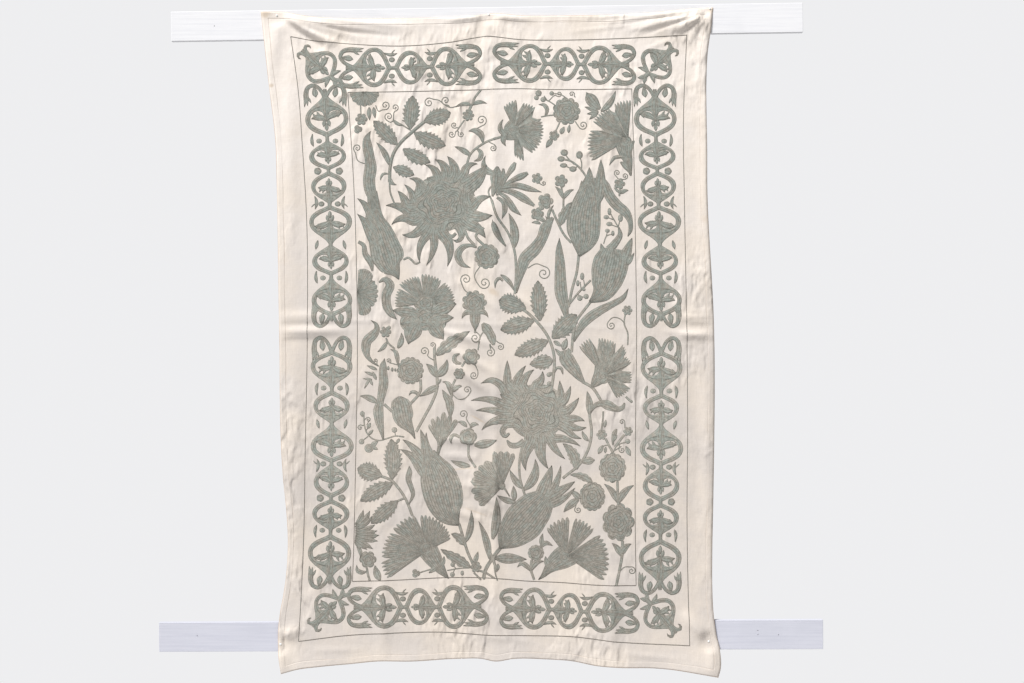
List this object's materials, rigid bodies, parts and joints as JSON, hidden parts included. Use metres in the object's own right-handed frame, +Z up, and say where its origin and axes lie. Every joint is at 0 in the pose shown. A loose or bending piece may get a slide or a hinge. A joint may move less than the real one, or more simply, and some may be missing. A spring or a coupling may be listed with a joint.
{
  "type": "suzani embroidered textile nailed to wooden battens",
  "caption": "Cotton hanging with chain-stitched flowers and a scrolling leaf border, nailed by its corners to a top and a bottom wooden batten, its folds and uneven edges as hung.",
  "frame": {"origin": "middle of the top batten's back face", "axes": "+X along the top batten to the right as seen from the front, +Y out of the battens' backs towards what they are fixed to, +Z up"},
  "size_m": [2.1254, 0.0411, 2.1574],
  "materials": {
    "cotton": "matt cream plain-weave cotton with grey-green chain stitch",
    "board_paint": "brushed white paint on planed softwood",
    "nail_enamel": "white enamelled steel"
  },
  "bodies": {
    "root": {"suzani_cloth": "cotton", "top_batten": "board_paint", "bottom_batten": "board_paint", "nail_top_left": "nail_enamel", "nail_top_centre": "nail_enamel", "nail_top_right": "nail_enamel", "nail_bottom_left": "nail_enamel", "nail_bottom_right": "nail_enamel"}
  },
  "joints": []
}
